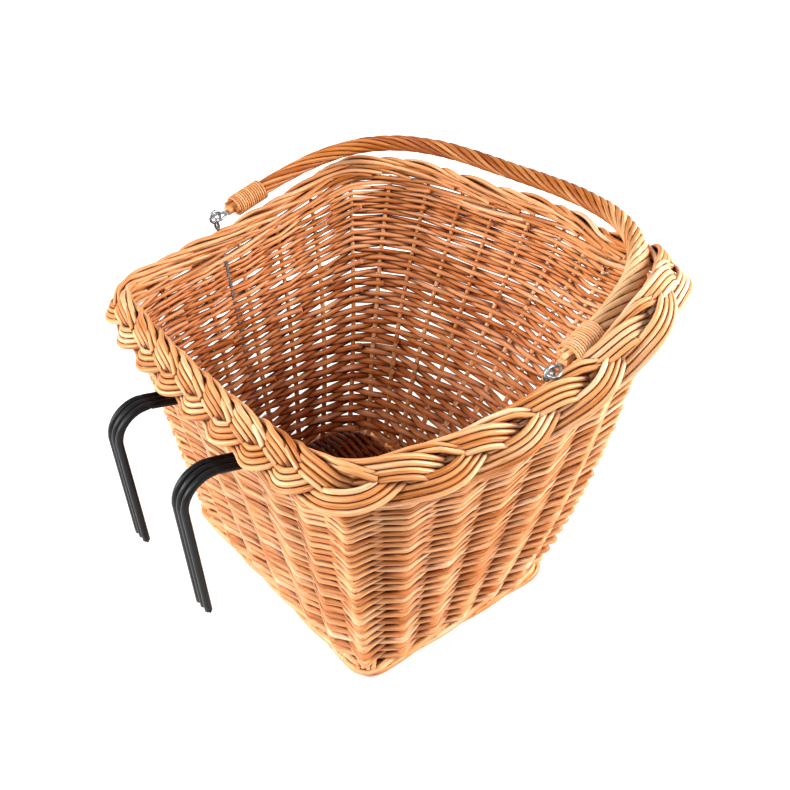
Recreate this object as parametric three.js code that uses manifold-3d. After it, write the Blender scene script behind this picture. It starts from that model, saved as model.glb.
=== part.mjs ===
// A bicycle basket of varnished willow. Randed walls stand on a woven base, a three-strand plait
// closes the rim, a roped handle swings on two wire eyes, and two steel hooks hang on a handlebar.
// Millimetres, +Z up, X along the hook wall, +Y forward. Sizes are from the middle of the base, and
// the part's origin is on the floor under the middle of the whole basket, hooks included.
import * as THREE from "three";
import { mergeVertices } from "three/addons/utils/BufferGeometryUtils.js";
import Module from "manifold-3d";

const wasm = await Module();
wasm.setup();

const V = (x, y, z) => new THREE.Vector3(x, y, z);
const UP = V(0, 0, 1);

// Way from the middle of the base to the middle of the whole part
const BASE_BEHIND_MIDDLE = 43.7;

// Sides of the faceted sections
const FOOT_SIDES = 8;
const STEEL_SIDES = 8;
const ROD_SIDES = 6;
const SKEIN_SIDES = 5;
const WEAVER_SIDES = 4;

// Limits of the swept sections: longest mitre, steepest held section, width of a weld
const MITRE_LIMIT = 1.5;
const HOLD_LIMIT = 0.8;
const WELD = 1e-4;

// Clearances between pieces that touch in the real basket
const GAP = 0.35;
const WEAVE_GAP = 0.82;

// Base: corners of the wall lines, straight sticks and the weaver across them
const BASE_BACK = 126;
const BASE_FRONT = 136;
const BASE_DEPTH = 91.5;
const BASE_CORNER_INSET = 4;
const FOOT_R = 5;
const FOOT_CORNER_R = 15;
const FOOT_CORNER_STEPS = 4;
const BASE_Z = 8.2;
const STICK_R = 2.8;
const STICK_COUNT = 7;
const STICK_EDGE = 24;
const BASE_WEAVER_R = 2.2;
const BASE_ROWS = 15;
const BASE_ROW_END = 4.6;
const BASE_EDGE_GAP = 1.2;

// Rim: inner top edge of the border, from hook wall to front, as a share of the handle's half width,
// a share of the base's half depth, and a rise above RIM_Z
const RIM_Z = 250;
const RIM_HALF = [
  [0, -1.322, 0],
  [0.446, -1.29, 0],
  [0.82, -1.169, 5],
  [0.909, -0.831, 2],
  [0.976, 0, 0],
  [1.031, 0.984, 5],
  [1.003, 1.596, 15],
  [0.797, 2.175, 5],
  [0.418, 2.448, 0],
  [0, 2.634, 0],
];
const HOOK_CORNER_INDEX = 2;
const FRONT_CORNER_INDEX = 6;
const ARC_SHARE = 24;

// Walls: stakes from above the foot roll to under the rim wale, and the weaver round them
const STAKE_R = 2.75;
const STAKE_LIFT = 2.1;
const STAKE_BOTTOM = 2 * FOOT_R + STAKE_LIFT;
const STAKE_DROP = 28.8;
const STAKE_TOP = RIM_Z - STAKE_DROP;
const HOOK_WALL_STAKES = [-112, -74, -24, 24, 74, 112];
const SIDE_STAKES = 5;
const FRONT_STAKES = 7;
const WEAVER_R = 2.3;
const ROUNDS = 30;
const SIDING_RODS = 5;
const BUTT_GAP = 4.5;
const REACH_TRIES = 4;
const SIDING_START = 0.015;
const SIDING_END = 0.972;
const WALE_R = 3.5;
const WALE_DROP = 23.4;
const WALE_OUT = -0.1;
const WALE_STEPS = 48;

// Border: three flat strands plaited on a band that leans outward over the rim
const PLAIT_PERIODS = 8;
const PLAIT_HOOK_SHARE = 1 / 3;
const PLAIT_STEPS = 81;
const PLAIT_LEAN_HOOK = THREE.MathUtils.degToRad(58);
const PLAIT_LEAN_FRONT = THREE.MathUtils.degToRad(30);
const PLAIT_CENTRE = 16.5;
const PLAIT_ACROSS = 11;
const PLAIT_DEPTH = 6;
const STRAND_HALF_WIDTH = 5.8;
const STRAND_HALF_THICK = 3.5;

// Hooks: three rods side by side, through the wall and down inside it
const HOOK_X = 49;
const HOOK_ROD_R = 3;
const HOOK_ROD_PITCH = 6.7;
const HOOK_CROSS_ROUND = 27.5;
const HOOK_SLOPE = Math.tan(THREE.MathUtils.degToRad(20));
const HOOK_LEG_OUT = 59;
const HOOK_LEG_END = 87;
const HOOK_ARCH_R = 24;
const HOOK_ANCHOR_R = 7;
const HOOK_ANCHOR_END = 140;
const HOOK_OPEN = 6;
const HOOK_OPEN_REACH = 30;
const HOOK_ANCHOR_IN = 9.05;
const HOOK_SPREAD = 30;
const HOOK_STEPS = 5;

// Handle: swings on an axis through the two eyes, which stand a little askew
const AXIS_FORWARD = 24.4;
const AXIS_RISE = 9;
const AXIS = V(0, AXIS_FORWARD, RIM_Z + AXIS_RISE);
const AXIS_SKEW = THREE.MathUtils.degToRad(8.3);
const HANDLE_REST = THREE.MathUtils.degToRad(7.2);
const HANDLE_HALF = 179.4;
const HANDLE_REACH = 189.5;
const HANDLE_SQUARENESS = 3.47;
const ARCH_DIVISIONS = 2000;
const CORE_R = 4.5;
const CORE_START = 15;
const CORE_STEPS = 36;
const ROPING_START = 17;
const ROPING_STEPS = 54;
const ROPING_RODS = 8;
const ROPING_R = 9.5;
const ROPING_VALLEY_R = 8.3;
const ROPING_LAY = 88;
const ROPING_END = 46;
const ROPING_END_SCALE = 0.74;
const WHIPPING_TURNS = 11;
const WHIPPING_PITCH = 2.8;
const WHIPPING_R = 1.15;
const WHIPPING_START = 5;
const WHIPPING_STEPS = 12;
const WIRE_R = 1.4;
const LINK_HALF = 5.2;
const LINK_SHOULDER = 6;
const LINK_NECK = 12.5;
const LINK_TAIL = [3.4, 9.3];
const LINK_BEND_R = 2.4;
const LINK_DEPTH = 14;
const LINK_END_GAP = 2;
const LINK_STEPS = 3;
const EYE_R = 5.2;
const EYE_TURN = THREE.MathUtils.degToRad(305);
const EYE_STEPS = 14;
const EYE_SHANK_END = 50;
const SHANK_HALVINGS = 20;
const EYE_SHANK_DROP = 16;
const SHANK_WEAVE_GAP = 3.75;
const EYE_KNEE_DROP = 3;
const EYE_KNEE_IN = 8.5;

const WILLOW = new THREE.MeshStandardMaterial({ color: 0xc9823f, roughness: 0.5, metalness: 0 });
const WILLOW_DARK = new THREE.MeshStandardMaterial({ color: 0xa95f2b, roughness: 0.55, metalness: 0 });
const STEEL_BLACK = new THREE.MeshStandardMaterial({ color: 0x1c1d1e, roughness: 0.4, metalness: 0.3 });
const ZINC = new THREE.MeshStandardMaterial({ color: 0xb9bdc1, roughness: 0.3, metalness: 0.9 });

const part = new THREE.Group();
const basket = new THREE.Group();
basket.position.y = -BASE_BEHIND_MIDDLE;
part.add(basket);

function add(name, geometry, material, parent = basket) {
  const mesh = new THREE.Mesh(geometry, material);
  mesh.name = name;
  parent.add(mesh);
  return mesh;
}

// Points of a regular section with a corner or a flat downward
function ringSection(radius, sides, turn = 0) {
  return Array.from({ length: sides }, (_, j) => {
    const a = turn + (2 * Math.PI * j) / sides;
    return new THREE.Vector2(radius * Math.cos(a), radius * Math.sin(a));
  });
}

// Rings of a section carried along points: lift holds the section upright, or rolls along if absent
function ringsAlong(points, sectionAt, { closed = false, lift = null } = {}) {
  const n = points.length;
  let carried = null;
  return points.map((p, k) => {
    const before = points[closed ? (k + n - 1) % n : Math.max(k - 1, 0)];
    const after = points[closed ? (k + 1) % n : Math.min(k + 1, n - 1)];
    const into = (p === before ? after.clone().sub(p) : p.clone().sub(before)).normalize();
    const out = (p === after ? p.clone().sub(before) : after.clone().sub(p)).normalize();
    const along = into.clone().add(out).normalize();
    const hold = lift ? (lift.isVector3 ? lift : lift[k]) : carried || leastAligned(along);
    const side = along.clone().cross(hold).normalize();
    const rise = side.clone().cross(along);
    carried = rise;
    const bend = out.clone().sub(into);
    const stretch = Math.min(1 / along.dot(into), MITRE_LIMIT) - 1;
    if (bend.lengthSq() > 0) bend.normalize();
    return sectionAt(k).map((q) => {
      const offset = side.clone().multiplyScalar(q.x).addScaledVector(rise, q.y);
      offset.addScaledVector(bend, offset.dot(bend) * stretch);
      return offset.add(p);
    });
  });
}

function leastAligned(direction) {
  return Math.abs(direction.z) < HOLD_LIMIT ? UP : V(1, 0, 0);
}

// A closed geometry from rings of outer points, with an optional list of rings for a bore
function skin(rings, { closed = false, bore = null } = {}) {
  const positions = [];
  const index = [];
  const put = (list) => {
    const start = positions.length / 3;
    list.flat().forEach((p) => positions.push(p.x, p.y, p.z));
    return start;
  };
  const wallOf = (list, start, inward) => {
    const m = list[0].length;
    const last = closed ? list.length : list.length - 1;
    for (let k = 0; k < last; k++) {
      const a = start + k * m;
      const b = start + ((k + 1) % list.length) * m;
      for (let j = 0; j < m; j++) {
        const i = (j + 1) % m;
        const quad = [a + j, b + j, b + i, a + j, b + i, a + i];
        index.push(...(inward ? quad.reverse() : quad));
      }
    }
  };
  const outer = put(rings);
  wallOf(rings, outer, false);
  const inner = bore ? put(bore) : 0;
  if (bore) wallOf(bore, inner, true);
  if (!closed) {
    const ends = [
      [rings[0], outer, bore && bore[0], inner, false],
      [
        rings.at(-1),
        outer + (rings.length - 1) * rings[0].length,
        bore && bore.at(-1),
        bore ? inner + (bore.length - 1) * bore[0].length : 0,
        true,
      ],
    ];
    for (const [loop, start, hole, holeStart, far] of ends) {
      const flat = flatten(loop, hole);
      const ids = [...loop.keys()].map((j) => start + j);
      if (hole) ids.push(...[...hole.keys()].map((j) => holeStart + j));
      for (const face of THREE.ShapeUtils.triangulateShape(flat.loop, flat.holes)) {
        const tri = face.map((j) => ids[j]);
        const right = facesAlong(positions, tri, flat.normal) !== far;
        index.push(...(right ? tri : tri.reverse()));
      }
    }
  }
  const geometry = new THREE.BufferGeometry();
  geometry.setAttribute("position", new THREE.Float32BufferAttribute(positions, 3));
  geometry.setIndex(index);
  return outward(geometry);
}

// An end ring and its hole laid flat, with the ring's normal along the sweep
function flatten(loop, hole) {
  const centre = loop.reduce((sum, p) => sum.add(p), V(0, 0, 0)).divideScalar(loop.length);
  const x = loop[0].clone().sub(centre).normalize();
  const quarter = loop[Math.floor(loop.length / 4)].clone().sub(centre);
  const normal = x.clone().cross(quarter).normalize();
  const y = normal.clone().cross(x);
  const lay = (p) => {
    const q = p.clone().sub(centre);
    return new THREE.Vector2(q.dot(x), q.dot(y));
  };
  return { loop: loop.map(lay), holes: hole ? [hole.map(lay)] : [], normal };
}

function facesAlong(positions, tri, normal) {
  const [a, b, c] = tri.map((i) => V(...positions.slice(3 * i, 3 * i + 3)));
  return b.sub(a).cross(c.sub(a)).dot(normal) > 0;
}

// Turns every face round if the geometry encloses a negative volume
function outward(geometry) {
  const p = geometry.attributes.position;
  const index = geometry.index.array;
  const corner = (i) => new THREE.Vector3().fromBufferAttribute(p, index[i]);
  let volume = 0;
  for (let i = 0; i < index.length; i += 3) {
    volume += corner(i).dot(corner(i + 1).cross(corner(i + 2)));
  }
  if (volume < 0) index.reverse();
  geometry.computeVertexNormals();
  return geometry;
}

function rodAlong(points, radius, sides, options = {}) {
  const section = ringSection(radius, sides, options.turn);
  return skin(ringsAlong(points, () => section, options), options);
}

// A broken line with each inner corner rounded to a radius
function bent(points, radii, steps) {
  const line = [points[0]];
  for (let k = 1; k < points.length - 1; k++) {
    const p = points[k];
    const toBack = points[k - 1].clone().sub(p).normalize();
    const toNext = points[k + 1].clone().sub(p).normalize();
    const half = Math.acos(THREE.MathUtils.clamp(toBack.dot(toNext), -1, 1)) / 2;
    const run = radii[k - 1] / Math.tan(half);
    const start = p.clone().addScaledVector(toBack, run);
    const bisector = toBack.clone().add(toNext).normalize();
    const centre = p.clone().addScaledVector(bisector, radii[k - 1] / Math.sin(half));
    const arm = start.clone().sub(centre);
    const turnAxis = toNext.clone().cross(toBack).normalize();
    const sweep = Math.PI - 2 * half;
    for (let j = 0; j <= steps; j++) {
      const spoke = arm.clone().applyAxisAngle(turnAxis, (sweep * j) / steps);
      line.push(centre.clone().add(spoke));
    }
  }
  line.push(points.at(-1));
  return line;
}

// The rim as a closed curve, anticlockwise from the middle of the hook wall
const rimHalf = RIM_HALF.map(([wide, deep, rise]) =>
  V(wide * HANDLE_HALF, deep * BASE_DEPTH, RIM_Z + rise),
);
const mirrored = rimHalf.slice(1, -1).reverse().map((p) => V(-p.x, p.y, p.z));
const rim = new THREE.CatmullRomCurve3([...rimHalf, ...mirrored], true, "centripetal");
const RIM_POINTS = rim.points.length;
rim.arcLengthDivisions = RIM_POINTS * ARC_SHARE;
const rimLengths = rim.getLengths();
const rimShare = (corner) => rimLengths[corner * ARC_SHARE] / rimLengths.at(-1);
const outwardAt = (tangent) => V(tangent.y, -tangent.x, 0).normalize();

// The four walls: base corners, and the share of the rim between their top corners
const baseCorners = [
  V(-BASE_BACK, -BASE_DEPTH, 0),
  V(BASE_BACK, -BASE_DEPTH, 0),
  V(BASE_FRONT, BASE_DEPTH, 0),
  V(-BASE_FRONT, BASE_DEPTH, 0),
];
const rimCorners = [
  rimShare(RIM_POINTS - HOOK_CORNER_INDEX) - 1,
  rimShare(HOOK_CORNER_INDEX),
  rimShare(FRONT_CORNER_INDEX),
  rimShare(RIM_POINTS - FRONT_CORNER_INDEX),
  rimShare(RIM_POINTS - HOOK_CORNER_INDEX),
];

// A line of the wall from base to rim, at a share of one wall's length
function wallLine(wall, share) {
  const bottom = baseCorners[wall].clone().lerp(baseCorners[(wall + 1) % 4], share);
  if (share === 0) {
    bottom.x -= BASE_CORNER_INSET * Math.sign(bottom.x);
    bottom.y -= BASE_CORNER_INSET * Math.sign(bottom.y);
  }
  bottom.z = STAKE_BOTTOM;
  const place = THREE.MathUtils.lerp(rimCorners[wall], rimCorners[wall + 1], share);
  const top = rim.getPointAt(THREE.MathUtils.euclideanModulo(place, 1));
  top.z += STAKE_TOP - RIM_Z;
  return { bottom, top, at: (t) => bottom.clone().lerp(top, t) };
}

const even = (count) => Array.from({ length: count }, (_, i) => (i + 1) / (count + 1));
const hookWallShare = (x) => 0.5 + x / (2 * rimHalf[HOOK_CORNER_INDEX].x);
const wallShares = [
  HOOK_WALL_STAKES.map(hookWallShare),
  even(SIDE_STAKES),
  even(FRONT_STAKES),
  even(SIDE_STAKES),
];
const stakes = wallShares.flatMap((shares, wall) => [0, ...shares].map((s) => wallLine(wall, s)));
const STAKES = stakes.length;

stakes.forEach((stake, i) => {
  const before = stakes[(i + STAKES - 1) % STAKES];
  const after = stakes[(i + 1) % STAKES];
  const lean = stake.top.clone().sub(stake.bottom).normalize();
  const along = after.at(0.5).sub(before.at(0.5));
  stake.out = along.cross(lean).normalize();
  const rod = new THREE.CylinderGeometry(STAKE_R, STAKE_R, stake.top.distanceTo(stake.bottom), ROD_SIDES);
  const mesh = add(`stake_${String(i + 1).padStart(2, "0")}`, rod, WILLOW);
  mesh.position.copy(stake.at(0.5));
  mesh.quaternion.setFromUnitVectors(V(0, 1, 0), lean);
});

// Siding: weavers round and round an odd number of stakes, so each round changes sides
const PASS = STAKE_R + WEAVER_R + WEAVE_GAP;
const STEPS = ROUNDS * STAKES;
const heightAt = (step) => THREE.MathUtils.mapLinear(step, 0, STEPS - 1, SIDING_START, SIDING_END);
const firstHookStake = 1 + HOOK_WALL_STAKES.findIndex((x) => x > -HOOK_X - HOOK_SPREAD);
const lastHookStake = 1 + HOOK_WALL_STAKES.findLastIndex((x) => x < HOOK_X + HOOK_SPREAD);
const hookLine = wallLine(0, hookWallShare(HOOK_X));
const hookHeight = heightAt(HOOK_CROSS_ROUND * STAKES + (firstHookStake + lastHookStake) / 2);
const hookCross = hookLine.at(hookHeight);

// The courses part round the hook rods and close up again above and below
function parted(i, p) {
  const off = p.z - hookCross.z;
  const near = i >= firstHookStake && i <= lastHookStake && Math.abs(off) < HOOK_OPEN_REACH;
  if (near) p.z += Math.sign(off) * HOOK_OPEN * (1 - Math.abs(off) / HOOK_OPEN_REACH);
  return p;
}

// The weaver's place at a stake: far enough out that both straight runs clear the stake
function passing(step) {
  const i = step % STAKES;
  const t = heightAt(step);
  const side = step % 2 ? -1 : 1;
  const out = stakes[i].out.clone().multiplyScalar(side);
  const centre = stakes[i].at(t);
  let reach = PASS;
  for (let attempt = 0; attempt < REACH_TRIES; attempt++) {
    const here = centre.clone().addScaledVector(out, reach);
    const steepest = [-1, 1].map((d) => {
      const other = stakes[(i + d + STAKES) % STAKES];
      const there = other.at(t).addScaledVector(other.out, -side * PASS);
      return here.clone().sub(there).normalize().dot(out);
    });
    const sine = Math.max(0, ...steepest);
    reach = PASS / Math.sqrt(1 - sine * sine);
  }
  return parted(i, centre.addScaledVector(out, reach));
}

const siding = Array.from({ length: STEPS }, (_, step) => passing(step));
const ROD_RUN = STEPS / SIDING_RODS;
for (let rod = 0; rod < SIDING_RODS; rod++) {
  const line = siding.slice(rod * ROD_RUN, (rod + 1) * ROD_RUN + 1);
  if (rod > 0) line[0] = line[0].clone().add(line[1].clone().sub(line[0]).setLength(BUTT_GAP));
  add(`siding_weaver_${rod + 1}`, rodAlong(line, WEAVER_R, WEAVER_SIDES, { lift: UP }), WILLOW);
}

// Foot roll: a rod roll round the base edge, with a flat of wear that it stands on
function roundedLoop(corners, radius, steps) {
  return corners.flatMap((c, k) => {
    const before = corners[(k + corners.length - 1) % corners.length];
    const after = corners[(k + 1) % corners.length];
    return bent([before, c, after], [radius], steps).slice(1, -1);
  });
}
const footLine = roundedLoop(baseCorners, FOOT_CORNER_R, FOOT_CORNER_STEPS).map((p) => p.setZ(FOOT_R));
const footSection = { closed: true, lift: UP, turn: Math.PI / FOOT_SIDES };
const footRadius = FOOT_R / Math.cos(Math.PI / FOOT_SIDES);
add("foot_roll", rodAlong(footLine, footRadius, FOOT_SIDES, footSection), WILLOW);

// Base: sticks from hook wall to front, and one weaver that snakes across them
const stickLength = 2 * (BASE_DEPTH - FOOT_R - GAP);
const lastStick = BASE_BACK - STICK_EDGE;
const stickX = (i) => THREE.MathUtils.mapLinear(i, 0, STICK_COUNT - 1, -lastStick, lastStick);
for (let i = 0; i < STICK_COUNT; i++) {
  const stick = new THREE.CylinderGeometry(STICK_R, STICK_R, stickLength, ROD_SIDES);
  add(`base_stick_${i + 1}`, stick, WILLOW_DARK).position.set(stickX(i), 0, BASE_Z);
}
const lastRow = BASE_DEPTH - FOOT_R - BASE_WEAVER_R - BASE_ROW_END;
const baseLine = [];
for (let row = 0; row < BASE_ROWS; row++) {
  const y = THREE.MathUtils.mapLinear(row, 0, BASE_ROWS - 1, -lastRow, lastRow);
  const order = row % 2 ? -1 : 1;
  const edge = THREE.MathUtils.mapLinear(y, -BASE_DEPTH, BASE_DEPTH, BASE_BACK, BASE_FRONT);
  const end = edge - FOOT_R - BASE_WEAVER_R - BASE_EDGE_GAP;
  baseLine.push(V(-order * end, y, BASE_Z));
  for (let i = 0; i < STICK_COUNT; i++) {
    const over = (i + row) % 2 ? -1 : 1;
    const z = BASE_Z + over * (STICK_R + BASE_WEAVER_R + GAP);
    baseLine.push(V(order * stickX(i), y, z));
  }
  baseLine.push(V(order * end, y, BASE_Z));
}
add("base_weaver", rodAlong(baseLine, BASE_WEAVER_R, WEAVER_SIDES, { lift: UP }), WILLOW_DARK);

// Rim wale: the tight rod ring on top of the stakes, inside the border
const waleLine = Array.from({ length: WALE_STEPS }, (_, k) => {
  const p = rim.getPointAt(k / WALE_STEPS);
  p.addScaledVector(outwardAt(rim.getTangentAt(k / WALE_STEPS)), WALE_OUT);
  p.z -= WALE_DROP;
  return p;
});
add("rim_wale", rodAlong(waleLine, WALE_R, ROD_SIDES, { closed: true, lift: UP }), WILLOW);

// Where the plait has got to on the rim: it lies closer on the hook wall than elsewhere
function plaitOnRim(share) {
  const { mapLinear } = THREE.MathUtils;
  const half = PLAIT_HOOK_SHARE / 2;
  if (share < half) return mapLinear(share, 0, half, 0, rimCorners[1]);
  if (share > 1 - half) return mapLinear(share, 1 - half, 1, 1 + rimCorners[0], 1);
  return mapLinear(share, half, 1 - half, rimCorners[1], 1 + rimCorners[0]);
}

// How far the plait's band leans down: steep on the hook wall, flatter towards the front
const leanAt = (y) =>
  THREE.MathUtils.mapLinear(y, rimHalf[0].y, rimHalf.at(-1).y, PLAIT_LEAN_HOOK, PLAIT_LEAN_FRONT);

// Border: a flat plait, each strand a third of a period behind the last, over from edge to middle
const strandSection = ringSection(1, ROD_SIDES).map(
  (q) => new THREE.Vector2(q.x * STRAND_HALF_WIDTH, q.y * STRAND_HALF_THICK),
);
for (let strand = 0; strand < 3; strand++) {
  const line = [];
  const lift = [];
  for (let k = 0; k < PLAIT_STEPS; k++) {
    const share = k / PLAIT_STEPS;
    const u = plaitOnRim(share);
    const phase = 2 * Math.PI * (PLAIT_PERIODS * share + strand / 3);
    const out = outwardAt(rim.getTangentAt(u));
    const p = rim.getPointAt(u);
    const lean = leanAt(p.y);
    const across = out.clone().multiplyScalar(Math.cos(lean));
    across.addScaledVector(UP, -Math.sin(lean));
    const face = out.clone().multiplyScalar(Math.sin(lean));
    face.addScaledVector(UP, Math.cos(lean));
    p.addScaledVector(across, PLAIT_CENTRE + PLAIT_ACROSS * Math.sin(phase));
    p.addScaledVector(face, -PLAIT_DEPTH * Math.sin(2 * phase));
    line.push(p);
    lift.push(face);
  }
  const rings = ringsAlong(line, () => strandSection, { closed: true, lift });
  add(`border_strand_${strand + 1}`, skin(rings, { closed: true }), WILLOW);
}

// Hooks: each rod runs down inside the wall, out between two courses, over and down
const anchorFoot = hookLine.at((HOOK_ANCHOR_END - STAKE_BOTTOM) / (STAKE_TOP - STAKE_BOTTOM));
const hookLegY = rimHalf[0].y - HOOK_LEG_OUT;
const hookRoute = bent(
  [
    V(0, anchorFoot.y + HOOK_ANCHOR_IN, anchorFoot.z),
    V(0, hookCross.y + HOOK_ANCHOR_IN, hookCross.z - HOOK_ANCHOR_IN * HOOK_SLOPE),
    V(0, hookLegY, hookCross.z + (hookCross.y - hookLegY) * HOOK_SLOPE),
    V(0, hookLegY, HOOK_LEG_END),
  ],
  [HOOK_ANCHOR_R, HOOK_ARCH_R],
  HOOK_STEPS,
);
const hookRod = rodAlong(hookRoute, HOOK_ROD_R, STEEL_SIDES, { lift: V(1, 0, 0) });
for (const [side, name] of [[-1, "left"], [1, "right"]]) {
  for (let rod = 0; rod < 3; rod++) {
    const mesh = add(`hook_${name}_rod_${rod + 1}`, hookRod, STEEL_BLACK);
    mesh.position.x = side * HOOK_X + (rod - 1) * HOOK_ROD_PITCH;
  }
}

// Handle, in a group whose X is the swing axis and whose Y is the way the handle lies at rest
const swing = new THREE.Group();
swing.position.copy(AXIS);
swing.rotation.set(HANDLE_REST, 0, AXIS_SKEW, "ZYX");
basket.add(swing);

// The handle's arch: nearly straight legs and a rounded square top
class Arch extends THREE.Curve {
  getPoint(t, target = V(0, 0, 0)) {
    const a = Math.PI * (1 - t);
    const power = 2 / HANDLE_SQUARENESS;
    const x = HANDLE_HALF * Math.sign(Math.cos(a)) * Math.abs(Math.cos(a)) ** power;
    return target.set(x, HANDLE_REACH * Math.abs(Math.sin(a)) ** power, 0);
  }
}
const arch = new Arch();
arch.arcLengthDivisions = ARCH_DIVISIONS;
const archLength = arch.getLength();
const archPart = (start, steps) =>
  Array.from({ length: steps + 1 }, (_, k) => {
    const run = THREE.MathUtils.mapLinear(k, 0, steps, start, archLength - start);
    return arch.getPointAt(run / archLength);
  });
const runAlong = (points) =>
  points.reduce((runs, p, k) => [...runs, k ? runs[k - 1] + p.distanceTo(points[k - 1]) : 0], []);

function solid(geometry) {
  const bare = new THREE.BufferGeometry();
  bare.setAttribute("position", geometry.attributes.position);
  bare.setIndex(geometry.index);
  const merged = mergeVertices(bare, WELD);
  return new wasm.Manifold(
    new wasm.Mesh({
      numProp: 3,
      vertProperties: merged.attributes.position.array,
      triVerts: new Uint32Array(merged.index.array),
    }),
  );
}

function geometryOf(manifold) {
  const mesh = manifold.getMesh();
  const geometry = new THREE.BufferGeometry();
  geometry.setAttribute("position", new THREE.BufferAttribute(mesh.vertProperties, 3));
  geometry.setIndex(new THREE.BufferAttribute(mesh.triVerts, 1));
  geometry.computeVertexNormals();
  return geometry;
}

// Core: a willow rod with a bore at each end for the link's shank
const boreEnd = CORE_START + LINK_DEPTH + LINK_END_GAP;
let core = solid(rodAlong(archPart(CORE_START, CORE_STEPS), CORE_R, ROD_SIDES, { lift: UP }));
for (const side of [-1, 1]) {
  const bore = new THREE.CylinderGeometry(WIRE_R + GAP, WIRE_R + GAP, boreEnd, STEEL_SIDES);
  bore.translate(side * HANDLE_HALF, boreEnd / 2, 0);
  core = core.subtract(solid(bore));
}
add("handle_core", geometryOf(core), WILLOW_DARK, swing);

// Roping: rods twisted round the core, one lobe for each, drawn in under the whippings
const ropingSwell = (run) =>
  THREE.MathUtils.lerp(ROPING_END_SCALE, 1, THREE.MathUtils.smoothstep(run, ROPING_END, 2 * ROPING_END));
const ropingLine = archPart(ROPING_START, ROPING_STEPS);
const ropingRuns = runAlong(ropingLine);
const ropingRings = ringsAlong(
  ropingLine,
  (k) => {
    const twist = (-2 * Math.PI * ropingRuns[k]) / ROPING_LAY;
    const swell = ropingSwell(Math.min(ropingRuns[k], ropingRuns.at(-1) - ropingRuns[k]));
    return ringSection(swell, 2 * ROPING_RODS, twist).map((q, j) =>
      q.multiplyScalar(j % 2 ? ROPING_VALLEY_R : ROPING_R),
    );
  },
  { lift: UP },
);
const boreSection = ringSection(CORE_R + GAP, ROD_SIDES);
const ropingBore = ringsAlong(archPart(ROPING_START, CORE_STEPS), () => boreSection, { lift: UP });
add("handle_roping", skin(ropingRings, { bore: ropingBore }), WILLOW, swing);

// Whippings: a thin skein wound round each end of the roping, with a short straight tail
function whippingLine(side) {
  const reach = ROPING_R * ROPING_END_SCALE + WEAVE_GAP + WHIPPING_R;
  const turns = Array.from({ length: WHIPPING_TURNS * WHIPPING_STEPS + 1 }, (_, k) => {
    const turn = k / WHIPPING_STEPS;
    const run = ROPING_START + WHIPPING_START + turn * WHIPPING_PITCH;
    const along = side < 0 ? run : archLength - run;
    const p = arch.getPointAt(along / archLength);
    const out = outwardAt(arch.getTangentAt(along / archLength));
    p.addScaledVector(out, reach * Math.cos(2 * Math.PI * turn));
    return p.addScaledVector(UP, reach * Math.sin(2 * Math.PI * turn));
  });
  const tail = (last, before) => last.clone().add(last.clone().sub(before).setLength(2 * WHIPPING_R));
  return [tail(turns[0], turns[1]), ...turns, tail(turns.at(-1), turns.at(-2))];
}

// The least gap between one turn and another, measured on the winding's points
function selfGap(points, stepsPerTurn, radius) {
  let least = Infinity;
  points.forEach((p, i) => {
    for (let j = i + Math.ceil(stepsPerTurn / 2); j < points.length; j++) {
      least = Math.min(least, p.distanceTo(points[j]));
    }
  });
  return least - 2 * radius;
}

// Links: a wire shank in the core's end, with a bar on the swing axis through the rim eye
function linkLine(side) {
  const p = (x, y) => V(side * (HANDLE_HALF + x), y, 0);
  const corners = [
    p(0, CORE_START + LINK_DEPTH),
    p(0, LINK_NECK),
    p(LINK_HALF, LINK_SHOULDER),
    p(LINK_HALF, 0),
    p(-LINK_HALF, 0),
    p(-LINK_HALF, LINK_SHOULDER),
    p(-LINK_TAIL[0], LINK_TAIL[1]),
  ];
  return bent(corners, corners.slice(2).map(() => LINK_BEND_R), LINK_STEPS);
}

// Rim eyes: a wire ring that the link's bar lies in, with a shank down the inside of the wall
const SHANK_IN = WEAVER_R + WIRE_R + SHANK_WEAVE_GAP;

// The share of a side wall whose line reaches the rim at a given y, found by halving
function shareAt(wall, y) {
  let [low, high] = [0, 1];
  for (let halving = 0; halving < SHANK_HALVINGS; halving++) {
    const middle = (low + high) / 2;
    const short = wallLine(wall, middle).top.y < y;
    if (short === (wall === 1)) low = middle;
    else high = middle;
  }
  return low;
}

function eyeLine(side) {
  const forward = V(-Math.sin(AXIS_SKEW), Math.cos(AXIS_SKEW), 0);
  const axis = V(Math.cos(AXIS_SKEW), Math.sin(AXIS_SKEW), 0);
  const centre = AXIS.clone().addScaledVector(axis, side * HANDLE_HALF);
  centre.z += EYE_R - 2 * WIRE_R - GAP;
  const wall = side < 0 ? 3 : 1;
  const line = wallLine(wall, shareAt(wall, centre.y));
  const height = (z) => (z - STAKE_BOTTOM) / (line.top.z - STAKE_BOTTOM);
  const inside = (z, inward) => line.at(height(z)).add(V(-side * inward, 0, 0));
  const knee = inside(STAKE_TOP, EYE_KNEE_IN).setZ(RIM_Z - EYE_KNEE_DROP);
  const shankTop = inside(STAKE_TOP - EYE_SHANK_DROP, SHANK_IN);
  const points = [inside(EYE_SHANK_END, SHANK_IN), shankTop, knee];
  for (let k = 0; k <= EYE_STEPS; k++) {
    const a = -Math.PI / 2 + (EYE_TURN * k) / EYE_STEPS;
    const p = centre.clone().addScaledVector(forward, EYE_R * Math.cos(a));
    points.push(p.addScaledVector(UP, EYE_R * Math.sin(a)));
  }
  return points;
}

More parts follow.
